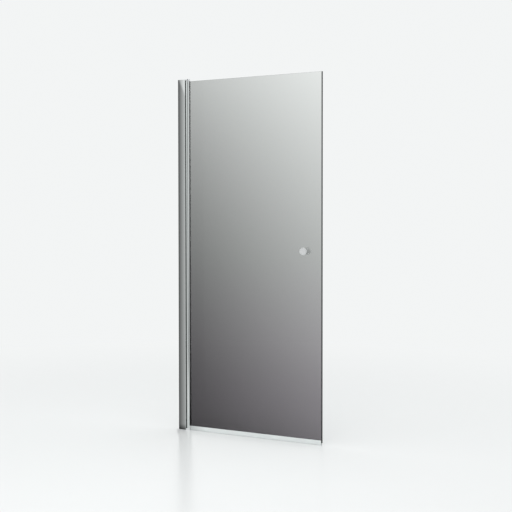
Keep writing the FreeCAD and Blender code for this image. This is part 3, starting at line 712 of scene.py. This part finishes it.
@dataclass
class SeatWasher:
    """Washer under a knob, with a rounded rim, standing just off the glass.

    Attributes:
        side: Face of the glass that it lies on.
        fit: Gap between washer and glass.
        clearance: Gap between the stud and the washer's hole.
        rounding: Size of the rim's rounding.
        segments: Number of steps in the rounding.
        steps: Number of steps round the axis.
    """

    side: Side
    fit: float = 0.1 * MM
    clearance: float = 0.1 * MM
    rounding: float = 0.3 * MM
    segments: int = 3
    steps: int = 64

    def build(self, material: bpy.types.Material) -> None:
        """Turn the washer's section round the knobs' axis.

        Args:
            material: Finish of the washer.
        """
        node = f"{self.side.name.lower()}_knob_washer"
        low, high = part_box(node)
        stud_low, stud_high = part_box("knob_stud")
        middle = (low + high) / 2
        near, far = sorted((abs(low.y), abs(high.y)))
        hole, rim = (stud_high.x - stud_low.x) / 2 + self.clearance, (high.x - low.x) / 2
        shape = bmesh.new()
        corners = [
            shape.verts.new((middle.x + radius, reach * self.side.value, middle.z))
            for radius, reach in ((hole, near + self.fit), (rim, near + self.fit), (rim, far), (hole, far))
        ]
        shape.faces.new(corners)
        bmesh.ops.bevel(shape, geom=corners[1:3], offset=self.rounding, affect="VERTICES",
                        segments=self.segments, profile=0.5, material=-1)
        bmesh.ops.delete(shape, geom=shape.faces[:], context="FACES_ONLY")
        bmesh.ops.spin(shape, geom=shape.verts[:] + shape.edges[:], cent=(middle.x, 0.0, middle.z),
                       axis=(0.0, 1.0, 0.0), angle=2 * math.pi, steps=self.steps, use_merge=True)
        bmesh.ops.remove_doubles(shape, verts=shape.verts[:], dist=MERGE_DISTANCE)
        settle(shape, f"{self.side.name.lower()}_seat_washer", node, material)


@dataclass
class WallFrame:
    """Channel, the post that telescopes in it, both brackets, the spindle and their screws.

    Attributes:
        channel: Finish of the channel.
        post: Finish of the post, with painted light graded by height.
        casting: Finish of the brackets.
        fastener: Finish of the screws and the spindle.
        plastic: Finish of the cap, the bush and the cam.
    """

    channel: Metal = POLISHED_ALUMINIUM
    post: Metal = GREY_ALUMINIUM
    casting: Metal = CHROME
    fastener: Metal = STAINLESS
    plastic: Moulding = BEARING_PLASTIC

    def build(self) -> None:
        """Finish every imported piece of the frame."""
        dress(self.channel.material(), "wall_profile")
        dress(self.post.material(), "hinge_post")
        dress(self.casting.material(), "lower_pivot_bracket", "upper_pivot_bracket")
        dress(self.fastener.material(), "post_lock_screws", "lower_bracket_screws", "upper_bracket_screws",
              "spindle")
        dress(self.plastic.material(), "channel_cap", "spindle_bush", "lift_cam")


@dataclass
class DoorLeaf:
    """Barrel with its plugs, the glass in its jaws and the strips that seal it.

    Attributes:
        extrusion: Finish of the barrel with its jaws, with painted light graded by height.
        fastener: Finish of the set screws.
        plastic: Finish of the plugs.
        glass: Finish of the glass.
        rubber: Finishes of the outer and the inner gasket, both painted lighter towards the top; the inner
            one is a paler copy that paints light on it.
        vinyl: Finish of the floor seal.
        gasket_wall: Distance between glass and jaw, filled by a gasket.
        gasket_fit: Gap between gasket and glass.
        gasket_rounded: Numbers of the gasket's rounded corners.
        flap_wall: Thickness of the flap over the jaw.
        flap_length: Length of the flap.
        lip_flat: Flat of the lip beyond the jaw's end.
        lip_tip: Thickness of the lip's tip.
        lip_cut: Length that is cut off the lip.
        seal_fit: Gap between seal and glass.
        seal_fin: Thickness of the seal's lips.
        seal_cut: Length that is cut off the seal at the free edge.
        seal_rounded: Numbers of the seal's rounded corners.
        rounding: Rounding of the strips' corners.
    """

    extrusion: Metal = BARREL_ALUMINIUM_PAINTED_LIGHT
    fastener: Metal = STAINLESS
    plastic: Moulding = BEARING_PLASTIC
    glass: SmokedGlass = SmokedGlass()
    rubber: tuple[Strip, Strip] = (GASKET_RUBBER, GASKET_RUBBER_PAINTED_LIGHT)
    vinyl: Strip = CLEAR_VINYL
    gasket_wall: float = 1.0 * MM
    gasket_fit: float = 0.1 * MM
    gasket_rounded: tuple[int, ...] = (5, 6)
    flap_wall: float = 0.8 * MM
    flap_length: float = 4.0 * MM
    lip_flat: float = 0.3 * MM
    lip_tip: float = 0.5 * MM
    lip_cut: float = 0.9 * MM
    seal_fit: float = 0.15 * MM
    seal_fin: float = 0.9 * MM
    seal_cut: float = 4.5 * MM
    seal_rounded: tuple[int, ...] = (0, 1, 4, 5, 7, 8, 11, 12)
    rounding: float = 0.35 * MM

    def build(self) -> None:
        """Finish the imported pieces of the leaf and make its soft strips."""
        dress(self.extrusion.material(), "leaf_profile")
        dress(self.fastener.material(), "follower_set_screws", "bush_set_screws")
        dress(self.plastic.material(), "cam_follower", "upper_bush")
        dress(self.glass.material(*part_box("door_glass")), "door_glass")
        for side, rubber in zip(Side, self.rubber):
            strip = self.gasket(side)
            strip.build(rubber.material(*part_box(strip.node)))
        self.seal().build(self.vinyl.material(*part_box("floor_seal")))

    def gasket(self, side: Side) -> SoftStrip:
        """Glazing gasket with a rounded flap and lip.

        Args:
            side: Face of the glass that it lies on.

        Returns:
            The strip.
        """
        node = f"{side.name.lower()}_glazing_gasket"
        low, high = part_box(node)
        jaw_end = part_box("leaf_profile")[1].x
        glass_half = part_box("door_glass")[1].y
        flap_face = max(abs(low.y), abs(high.y))
        jaw_half = flap_face - self.flap_wall
        slot_half = glass_half + self.gasket_wall
        flap_start = jaw_end - self.flap_length
        seat = glass_half + self.gasket_fit
        lip_end = high.x - self.lip_cut
        points = [(low.x, seat), (low.x, slot_half), (jaw_end, slot_half), (jaw_end, jaw_half),
                  (flap_start, jaw_half), (flap_start, flap_face), (jaw_end + self.lip_flat, flap_face),
                  (lip_end, seat + self.lip_tip), (lip_end, seat)]
        section = [Vector((x, y * side.value, low.z)) for x, y in points]
        return SoftStrip(f"{side.name.lower()}_gasket_strip", node, Slot.GASKET, section, self.gasket_rounded,
                         Vector((0.0, 0.0, high.z - low.z)), self.rounding)

    def seal(self) -> SoftStrip:
        """Clear floor seal with rounded legs and lips.

        Returns:
            The strip.
        """
        low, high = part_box("floor_seal")
        glass_low, glass_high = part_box("door_glass")
        outside = -low.y
        inside = glass_high.y + self.seal_fit
        web_top = glass_low.z - self.seal_fit
        web_foot = web_top - (outside - inside)
        points = [(-outside, high.z), (-inside, high.z), (-inside, web_top), (inside, web_top),
                  (inside, high.z), (outside, high.z), (outside, web_foot), (high.y, low.z),
                  (high.y - self.seal_fin, low.z), (outside - self.seal_fin, web_foot),
                  (self.seal_fin - outside, web_foot), (self.seal_fin - outside, low.z), (-outside, low.z)]
        section = [Vector((low.x, y, z)) for y, z in points]
        return SoftStrip("floor_seal_strip", "floor_seal", Slot.SEAL, section, self.seal_rounded,
                         Vector((high.x - self.seal_cut - low.x, 0.0, 0.0)), self.rounding)


@dataclass
class KnobPair:
    """Two knobs on one stud through the glass.

    Attributes:
        plating: Finishes of the outer and the inner knob; the inner one is a brighter copy that paints light
            on it.
        fastener: Finish of the stud and the grub screw.
        plastic: Finish of the sleeve and the washers.
    """

    plating: tuple[Metal, Metal] = (SATIN_CHROME, SATIN_CHROME_PAINTED_LIGHT)
    fastener: Metal = STAINLESS
    plastic: Moulding = WHITE_NYLON

    def build(self) -> None:
        """Finish the knobs and what seats and locks them."""
        for side, plating in zip(Side, self.plating):
            dress(plating.material(), f"{side.name.lower()}_knob")
        dress(self.fastener.material(), "knob_stud", "knob_grub_screw")
        plastic = self.plastic.material()
        dress(plastic, "knob_sleeve")
        for side in Side:
            SeatWasher(side).build(plastic)


@dataclass(frozen=True)
class Viewpoint:
    """Where the camera stands and looks.

    Attributes:
        place: Place of the camera in metres.
        azimuth: Angle from the view along +Y, towards +X, in degrees.
        elevation: Angle above the horizon in degrees.
        roll: Turn about the line of sight in degrees.
        lens: Focal length in millimetres on the camera's own sensor.
        shift: Rise of the picture's middle, as a share of its width.
    """

    place: Triple = (2.9371, -4.7039, 1.2163)
    azimuth: float = 27.463
    elevation: float = 1.413
    roll: float = 0.057
    lens: float = 67.75
    shift: float = -0.02881

    def build(self) -> None:
        """Make the camera and let the scene use it."""
        turn, rise = math.radians(self.azimuth), math.radians(self.elevation)
        back = Vector((math.sin(turn) * math.cos(rise), -math.cos(turn) * math.cos(rise), math.sin(rise)))
        camera = bpy.data.objects.new("camera", bpy.data.cameras.new("camera"))
        camera.data.lens = self.lens
        camera.data.shift_y = self.shift
        camera.location = self.place
        camera.rotation_mode = "QUATERNION"
        lean = Quaternion((0.0, 0.0, 1.0), -math.radians(self.roll))
        camera.rotation_quaternion = (-back).to_track_quat("-Z", "Y") @ lean
        bpy.context.scene.collection.objects.link(camera)
        bpy.context.scene.camera = camera


def card(name: str, corners: list[Vector], material: bpy.types.Material) -> None:
    """Make a flat sheet of the stage that only mirrors see.

    Args:
        name: Name of the sheet.
        corners: Its corners in order.
        material: Its glow.
    """
    shape = bmesh.new()
    shape.faces.new([shape.verts.new(corner) for corner in corners])
    mesh = bpy.data.meshes.new(name)
    shape.to_mesh(mesh)
    shape.free()
    mesh.materials.append(material)
    sheet = bpy.data.objects.new(name, mesh)
    for kind in ("camera", "diffuse", "transmission", "shadow", "volume_scatter"):
        setattr(sheet, f"visible_{kind}", False)
    bpy.context.scene.collection.objects.link(sheet)


@dataclass(frozen=True)
class ChannelSheen:
    """Upright card close to the channel that its side mirrors: dark at the back, paler by the hinge.

    Attributes:
        side: Side of the door that it stands on.
        gap: Distance from the channel.
        shift: Sideways shift, along the mirrored view.
        rise: Height of the card above the channel's top.
        dark: Brightness at the channel's back, at the foot and at the top.
        gain: Gain in brightness up to the hinge, at the foot and at the top.
        wedge: Extra brightness in a slanted wedge at the top.
        wedge_slope: Rise of the wedge's edge, per width.
        wedge_drop: Start of the wedge at the channel's back, below the top.
        wedge_depth: Height over which the wedge comes in.
        foot_depth: Height over which it darkens to the floor.
        foot_share: Share of brightness at the floor.
    """

    side: Side
    gap: float = 4.0 * MM
    shift: float = -2.5 * MM
    rise: float = 20.0 * MM
    dark: Pair = (0.098, 0.074)
    gain: Pair = (0.36, 0.60)
    wedge: float = 0.30
    wedge_slope: float = 2.2
    wedge_drop: float = 10.0 * MM
    wedge_depth: float = 40.0 * MM
    foot_depth: float = 32.0 * MM
    foot_share: float = 0.15

    def build(self) -> None:
        """Make the card."""
        name = f"{self.side.name.lower()}_channel_sheen"
        low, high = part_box("wall_profile")
        left, right = low.x + self.shift, high.x + self.shift
        tree = ShaderTree(name)
        where = tree.axes(tree.place())
        across = tree.ramp(where["X"], left, right, 0.0, 1.0)
        dark, gain = (tree.ramp(where["Z"], low.z, high.z, *pair) for pair in (self.dark, self.gain))
        level = tree.math("MULTIPLY_ADD", across, gain, dark)
        slanted = tree.math("MULTIPLY_ADD", where["X"], self.wedge_slope, where["Z"])
        start = high.z - self.wedge_drop
        wedge = tree.ramp(slanted, start, start + self.wedge_depth, 0.0, self.wedge, Ease.SMOOTH)
        foot = tree.ramp(where["Z"], low.z, low.z + self.foot_depth, self.foot_share, 1.0)
        material = tree.glow(tree.math("MULTIPLY", tree.math("ADD", level, wedge), foot))
        plane, top = self.side.value * (high.y + self.gap), high.z + self.rise
        corners = ((left, low.z), (right, low.z), (right, top), (left, top))
        card(name, [Vector((x, plane, z)) for x, z in corners], material)


@dataclass(frozen=True)
class BackSheen:
    """Upright card close to the channel's back that its back face mirrors.

    Attributes:
        gap: Distance from the back face.
        overhang: Width of the card beyond the channel on each side.
        foot: Brightness at the foot, by the outer and by the inner edge.
        top: Brightness at the top, by the outer and by the inner edge.
    """

    gap: float = 6.0 * MM
    overhang: float = 12.0 * MM
    foot: Pair = (0.24, 0.5)
    top: Pair = (0.5, 0.8)

    def build(self) -> None:
        """Make the card."""
        low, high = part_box("wall_profile")
        tree = ShaderTree("back_sheen")
        where = tree.axes(tree.place())
        outer, inner = (tree.ramp(where["Z"], low.z, high.z, *ends) for ends in zip(self.foot, self.top))
        across = tree.ramp(where["Y"], low.y, high.y, 0.0, 1.0)
        material = tree.glow(tree.math("MULTIPLY_ADD", tree.math("SUBTRACT", inner, outer), across, outer))
        near, far = low.y - self.overhang, high.y + self.overhang
        corners = ((near, low.z), (far, low.z), (far, high.z), (near, high.z))
        card("back_sheen", [Vector((low.x - self.gap, y, z)) for y, z in corners], material)


@dataclass(frozen=True)
class BarrelShade:
    """Upright card near the barrel that draws a grey line on its mirror, with soft sides.

    Attributes:
        side: Side of the door that it stands on.
        distance: Distance from the middle of the door.
        left: Place of its left side.
        right: Place of its right side.
        soft: Width of the soft sides.
        foot: Heights between which it comes in.
        height: Height of the card.
        level: Brightness in its middle.
        paleness: Brightness at its sides, that of the surroundings.
    """

    side: Side
    distance: float = 80.0 * MM
    left: float = 32.0 * MM
    right: float = 122.0 * MM
    soft: float = 11.0 * MM
    foot: Pair = (120.0 * MM, 500.0 * MM)
    height: float = 2300.0 * MM
    level: float = 0.26
    paleness: float = 0.9

    def build(self) -> None:
        """Make the card."""
        name = f"{self.side.name.lower()}_barrel_shade"
        tree = ShaderTree(name)
        where = tree.axes(tree.place())
        middle, half = (self.left + self.right) / 2, (self.right - self.left) / 2
        offset = tree.math("ABSOLUTE", tree.math("SUBTRACT", where["X"], middle))
        inside = tree.ramp(offset, half - self.soft, half, 1.0, 0.0, Ease.SMOOTH)
        above = tree.ramp(where["Z"], *self.foot, 0.0, 1.0, Ease.SMOOTH)
        depth = tree.math("MULTIPLY", inside, above)
        material = tree.glow(tree.ramp(depth, 0.0, 1.0, self.paleness, self.level))
        plane, low = self.side.value * self.distance, self.foot[0]
        corners = ((self.left, low), (self.right, low), (self.right, self.height), (self.left, self.height))
        card(name, [Vector((x, plane, z)) for x, z in corners], material)


@dataclass(frozen=True)
class Lamp:
    """Square soft lamp that faces the middle of the door.

    Attributes:
        name: Name of the lamp.
        place: Place in metres.
        width: Width of the lamp in metres.
        power: Power in watts.
    """

    name: str
    place: Triple
    width: float
    power: float

    def build(self) -> None:
        """Make the lamp, unseen in mirrors and through glass."""
        light = bpy.data.lights.new(self.name, "AREA")
        light.size = self.width
        light.energy = self.power
        lamp = bpy.data.objects.new(self.name, light)
        lamp.location = self.place
        lamp.visible_glossy = False
        lamp.visible_transmission = False
        middle = (CAD_BOX[0] + CAD_BOX[1]) / 2
        lamp.rotation_mode = "QUATERNION"
        lamp.rotation_quaternion = (middle - lamp.location).to_track_quat("-Z", "Y")
        bpy.context.scene.collection.objects.link(lamp)


@dataclass
class Studio:
    """Pale floor, pale surroundings, cards that the metal mirrors and soft lamps.

    Attributes:
        paleness: Colour of the surroundings as seen.
        ambient: Brightness of the surroundings as light on the object.
        floor_colour: Colour of the floor.
        floor_roughness: Roughness of the floor.
        floor_size: Width of the floor in metres.
        floor_drop: Distance of the floor below the door's foot.
        fade: Distances over which the floor fades into the surroundings.
        cards: Cards beside the channel and the barrel.
        lamps: Soft lamps.
    """

    paleness: Triple = (0.895, 0.91, 0.91)
    ambient: float = 0.86
    floor_colour: Triple = (0.875, 0.885, 0.885)
    floor_roughness: float = 0.22
    floor_size: float = 60.0
    floor_drop: float = 0.2 * MM
    fade: Pair = (1.0, 4.0)
    cards: tuple[ChannelSheen | BackSheen | BarrelShade, ...] = (
        BackSheen(),
        *(kind(side) for side in Side for kind in (ChannelSheen, BarrelShade)),
    )
    lamps: tuple[Lamp, ...] = (
        Lamp("overhead", place=(0.4, -0.8, 4.2), width=3.6, power=30.0),
        Lamp("front", place=(1.6, -3.6, 2.0), width=2.4, power=24.0),
    )

    def build(self) -> None:
        """Set up the whole studio."""
        bpy.context.scene.view_settings.view_transform = "Standard"
        self.surroundings()
        self.floor()
        for item in (*self.cards, *self.lamps):
            item.build()

    def surroundings(self) -> None:
        """Pale world, seen at one level and lighting the object at another."""
        world = bpy.data.worlds.new("surroundings")
        world.use_nodes = True
        bpy.context.scene.world = world
        nodes, links = world.node_tree.nodes, world.node_tree.links
        rays = nodes.new("ShaderNodeLightPath")
        seen = rays.outputs["Is Camera Ray"]
        for kind in ("Is Glossy Ray", "Is Transmission Ray"):
            either = nodes.new("ShaderNodeMath")
            either.operation = "MAXIMUM"
            links.new(seen, either.inputs[0])
            links.new(rays.outputs[kind], either.inputs[1])
            seen = either.outputs["Value"]
        level = nodes.new("ShaderNodeMapRange")
        links.new(seen, level.inputs["Value"])
        level.inputs["To Min"].default_value = self.ambient / max(self.paleness)
        links.new(level.outputs["Result"], nodes["Background"].inputs["Strength"])
        nodes["Background"].inputs["Color"].default_value = (*self.paleness, 1.0)

    def floor(self) -> None:
        """Pale floor with a soft sheen, fading into the surroundings far away."""
        shape = bmesh.new()
        bmesh.ops.create_grid(shape, x_segments=1, y_segments=1, size=self.floor_size / 2)
        mesh = bpy.data.meshes.new("floor")
        shape.to_mesh(mesh)
        shape.free()
        mesh.materials.append(self.floor_material())
        floor = bpy.data.objects.new("floor", mesh)
        floor.location.z = -self.floor_drop
        bpy.context.scene.collection.objects.link(floor)

    def floor_material(self) -> bpy.types.Material:
        """Floor that takes shadows nearby and matches the surroundings far away.

        Returns:
            The finished material.
        """
        tree = ShaderTree("studio_floor")
        shader = tree.feed(tree.add("BsdfPrincipled"), Base_Color=(*self.floor_colour, 1.0),
                           Roughness=self.floor_roughness)
        light = tree.feed(tree.add("Emission"), Color=(*self.paleness, 1.0))
        length = tree.feed(tree.add("VectorMath", operation="LENGTH"), Vector=tree.place())
        far = tree.ramp(length.outputs["Value"], *self.fade, 0.0, 1.0, Ease.SMOOTH)
        return tree.blend(far, shader, light)


def main() -> None:
    """Dress the door and set up the studio."""
    for part in (WallFrame(), DoorLeaf(), KnobPair(), Viewpoint(), Studio()):
        part.build()
        log.info("%s built", type(part).__name__)


if __name__ == "__main__":
    main()
